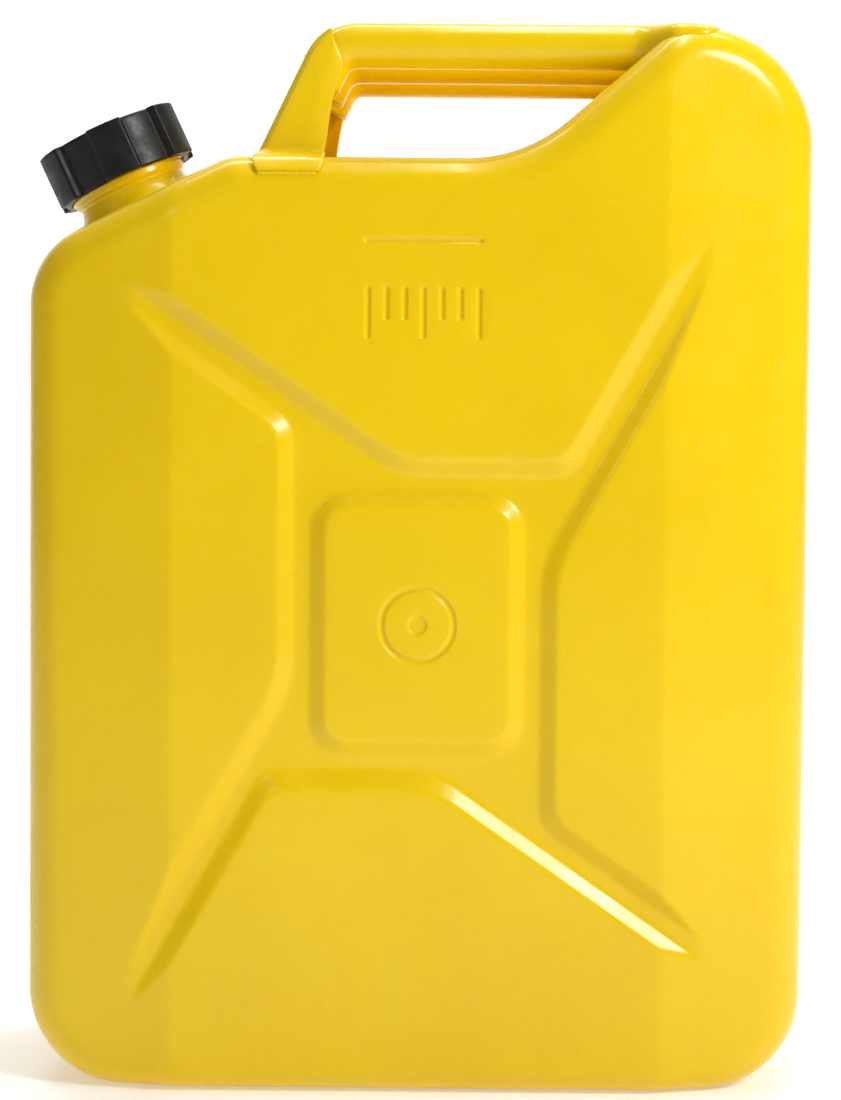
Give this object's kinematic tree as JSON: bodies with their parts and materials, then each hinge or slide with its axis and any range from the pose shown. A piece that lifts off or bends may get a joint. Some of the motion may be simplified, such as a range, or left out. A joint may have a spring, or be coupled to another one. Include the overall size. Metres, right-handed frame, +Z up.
{
  "type": "jerry can",
  "caption": "Pressed steel fuel can with crossed pressed channels, triple bar handle, sloping filler neck and lobed screw cap.",
  "frame": {"origin": "middle of the base, at floor level", "axes": "+X towards the hump, -X towards the filler, -Y the front face, +Z up"},
  "size_m": [0.3481, 0.1656, 0.47],
  "materials": {
    "enamel": "gloss",
    "bare_steel": "satin",
    "black_plastic": "satin",
    "white_plastic": "matt",
    "seal_rubber": "matt"
  },
  "bodies": {
    "root": {"front_half_shell": "enamel", "rear_half_shell": "enamel", "seam_weld": "enamel", "handle_bar_front": "enamel", "handle_bar_middle": "enamel", "handle_bar_rear": "enamel", "handle_bracket": "enamel", "bracket_bar_welds": "enamel", "bar_hump_welds": "enamel", "bracket_foot_weld_front": "enamel", "bracket_foot_weld_rear": "enamel", "neck_ring": "enamel", "threaded_neck": "enamel", "neck_weld": "enamel", "vent_pipe": "bare_steel", "vent_pipe_clip": "bare_steel"},
    "cap_carrier": {"cap_liner": "white_plastic", "cap_gasket": "seal_rubber"},
    "cap": {"cap_shell": "black_plastic", "cap_centre_disc": "black_plastic"}
  },
  "joints": [
    {"name": "cap_rise", "type": "slide", "parent": "root", "child": "cap_carrier", "axis": [-0.4226, 0, 0.9063], "range_m": [0, 0.027]},
    {"name": "cap_turn", "type": "hinge", "parent": "cap_carrier", "child": "cap", "pos_m": [-0.128, 0, 0.38852], "axis": [-0.4226, 0, 0.9063], "range_deg": [0, 3240]}
  ],
  "couplings": [
    {"joint": "cap_rise", "follows": "cap_turn", "m_per_rad": 0.00047746}
  ]
}
